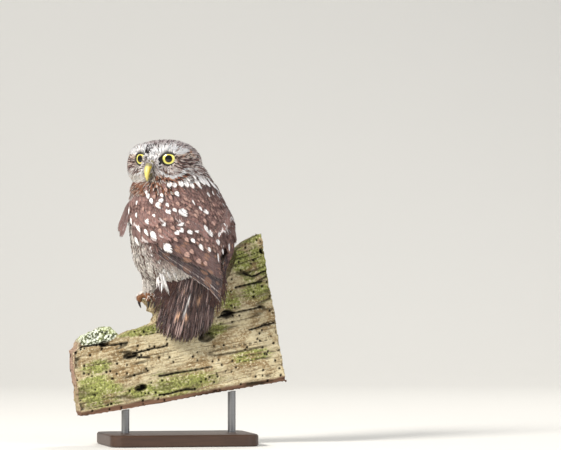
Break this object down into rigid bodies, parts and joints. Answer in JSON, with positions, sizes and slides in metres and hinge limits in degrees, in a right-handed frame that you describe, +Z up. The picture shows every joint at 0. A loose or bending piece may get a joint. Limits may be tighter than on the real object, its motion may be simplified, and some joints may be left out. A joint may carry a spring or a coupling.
{
  "type": "little owl model on a cut board",
  "caption": "Life-size little owl looking back over its left shoulder, gripping the worn end of an old board held on a plain rod stand.",
  "frame": {"origin": "middle of the stand's underside, on the floor", "axes": "+Z up, the owl's breast faces -Y and its left wing is on +X, while its face looks along +X and a little towards +Y"},
  "size_m": [0.2062, 0.154, 0.305],
  "materials": {
    "plumage": "soft brown body feathers with pale spots and streaks",
    "flight_feathers": "dark brown flight and tail feathers with buff bars and white spots",
    "pale_plumage": "short white and cream feathers on the legs",
    "eye": "glossy pale yellow iris with a black pupil",
    "bill": "smooth yellow-green horn",
    "toe_skin": "bristled grey-brown scaled skin",
    "claw": "dark smooth horn",
    "old_wood": "weathered grey-tan board with insect holes, algae and lichen",
    "base_wood": "dark oiled hardwood, satin",
    "rod_steel": "brushed steel rod"
  },
  "bodies": {
    "root": {"head": "plumage", "neck": "plumage", "torso": "plumage", "eye_left": "eye", "eye_right": "eye", "bill_upper": "bill", "bill_lower": "bill", "wing_left": "flight_feathers", "wing_right": "flight_feathers", "tail": "flight_feathers", "thigh_left": "pale_plumage", "shank_left": "pale_plumage", "foot_left": "toe_skin", "claw_left_toe_2": "claw", "claw_left_toe_3": "claw", "claw_left_toe_4": "claw", "claw_left_toe_1": "claw", "thigh_right": "pale_plumage", "shank_right": "pale_plumage", "foot_right": "toe_skin", "claw_right_toe_2": "claw", "claw_right_toe_3": "claw", "claw_right_toe_4": "claw", "claw_right_toe_1": "claw", "perch_board": "old_wood", "stand_base": "base_wood", "stand_rod_near_end": "rod_steel", "stand_rod_far_end": "rod_steel"}
  },
  "joints": []
}
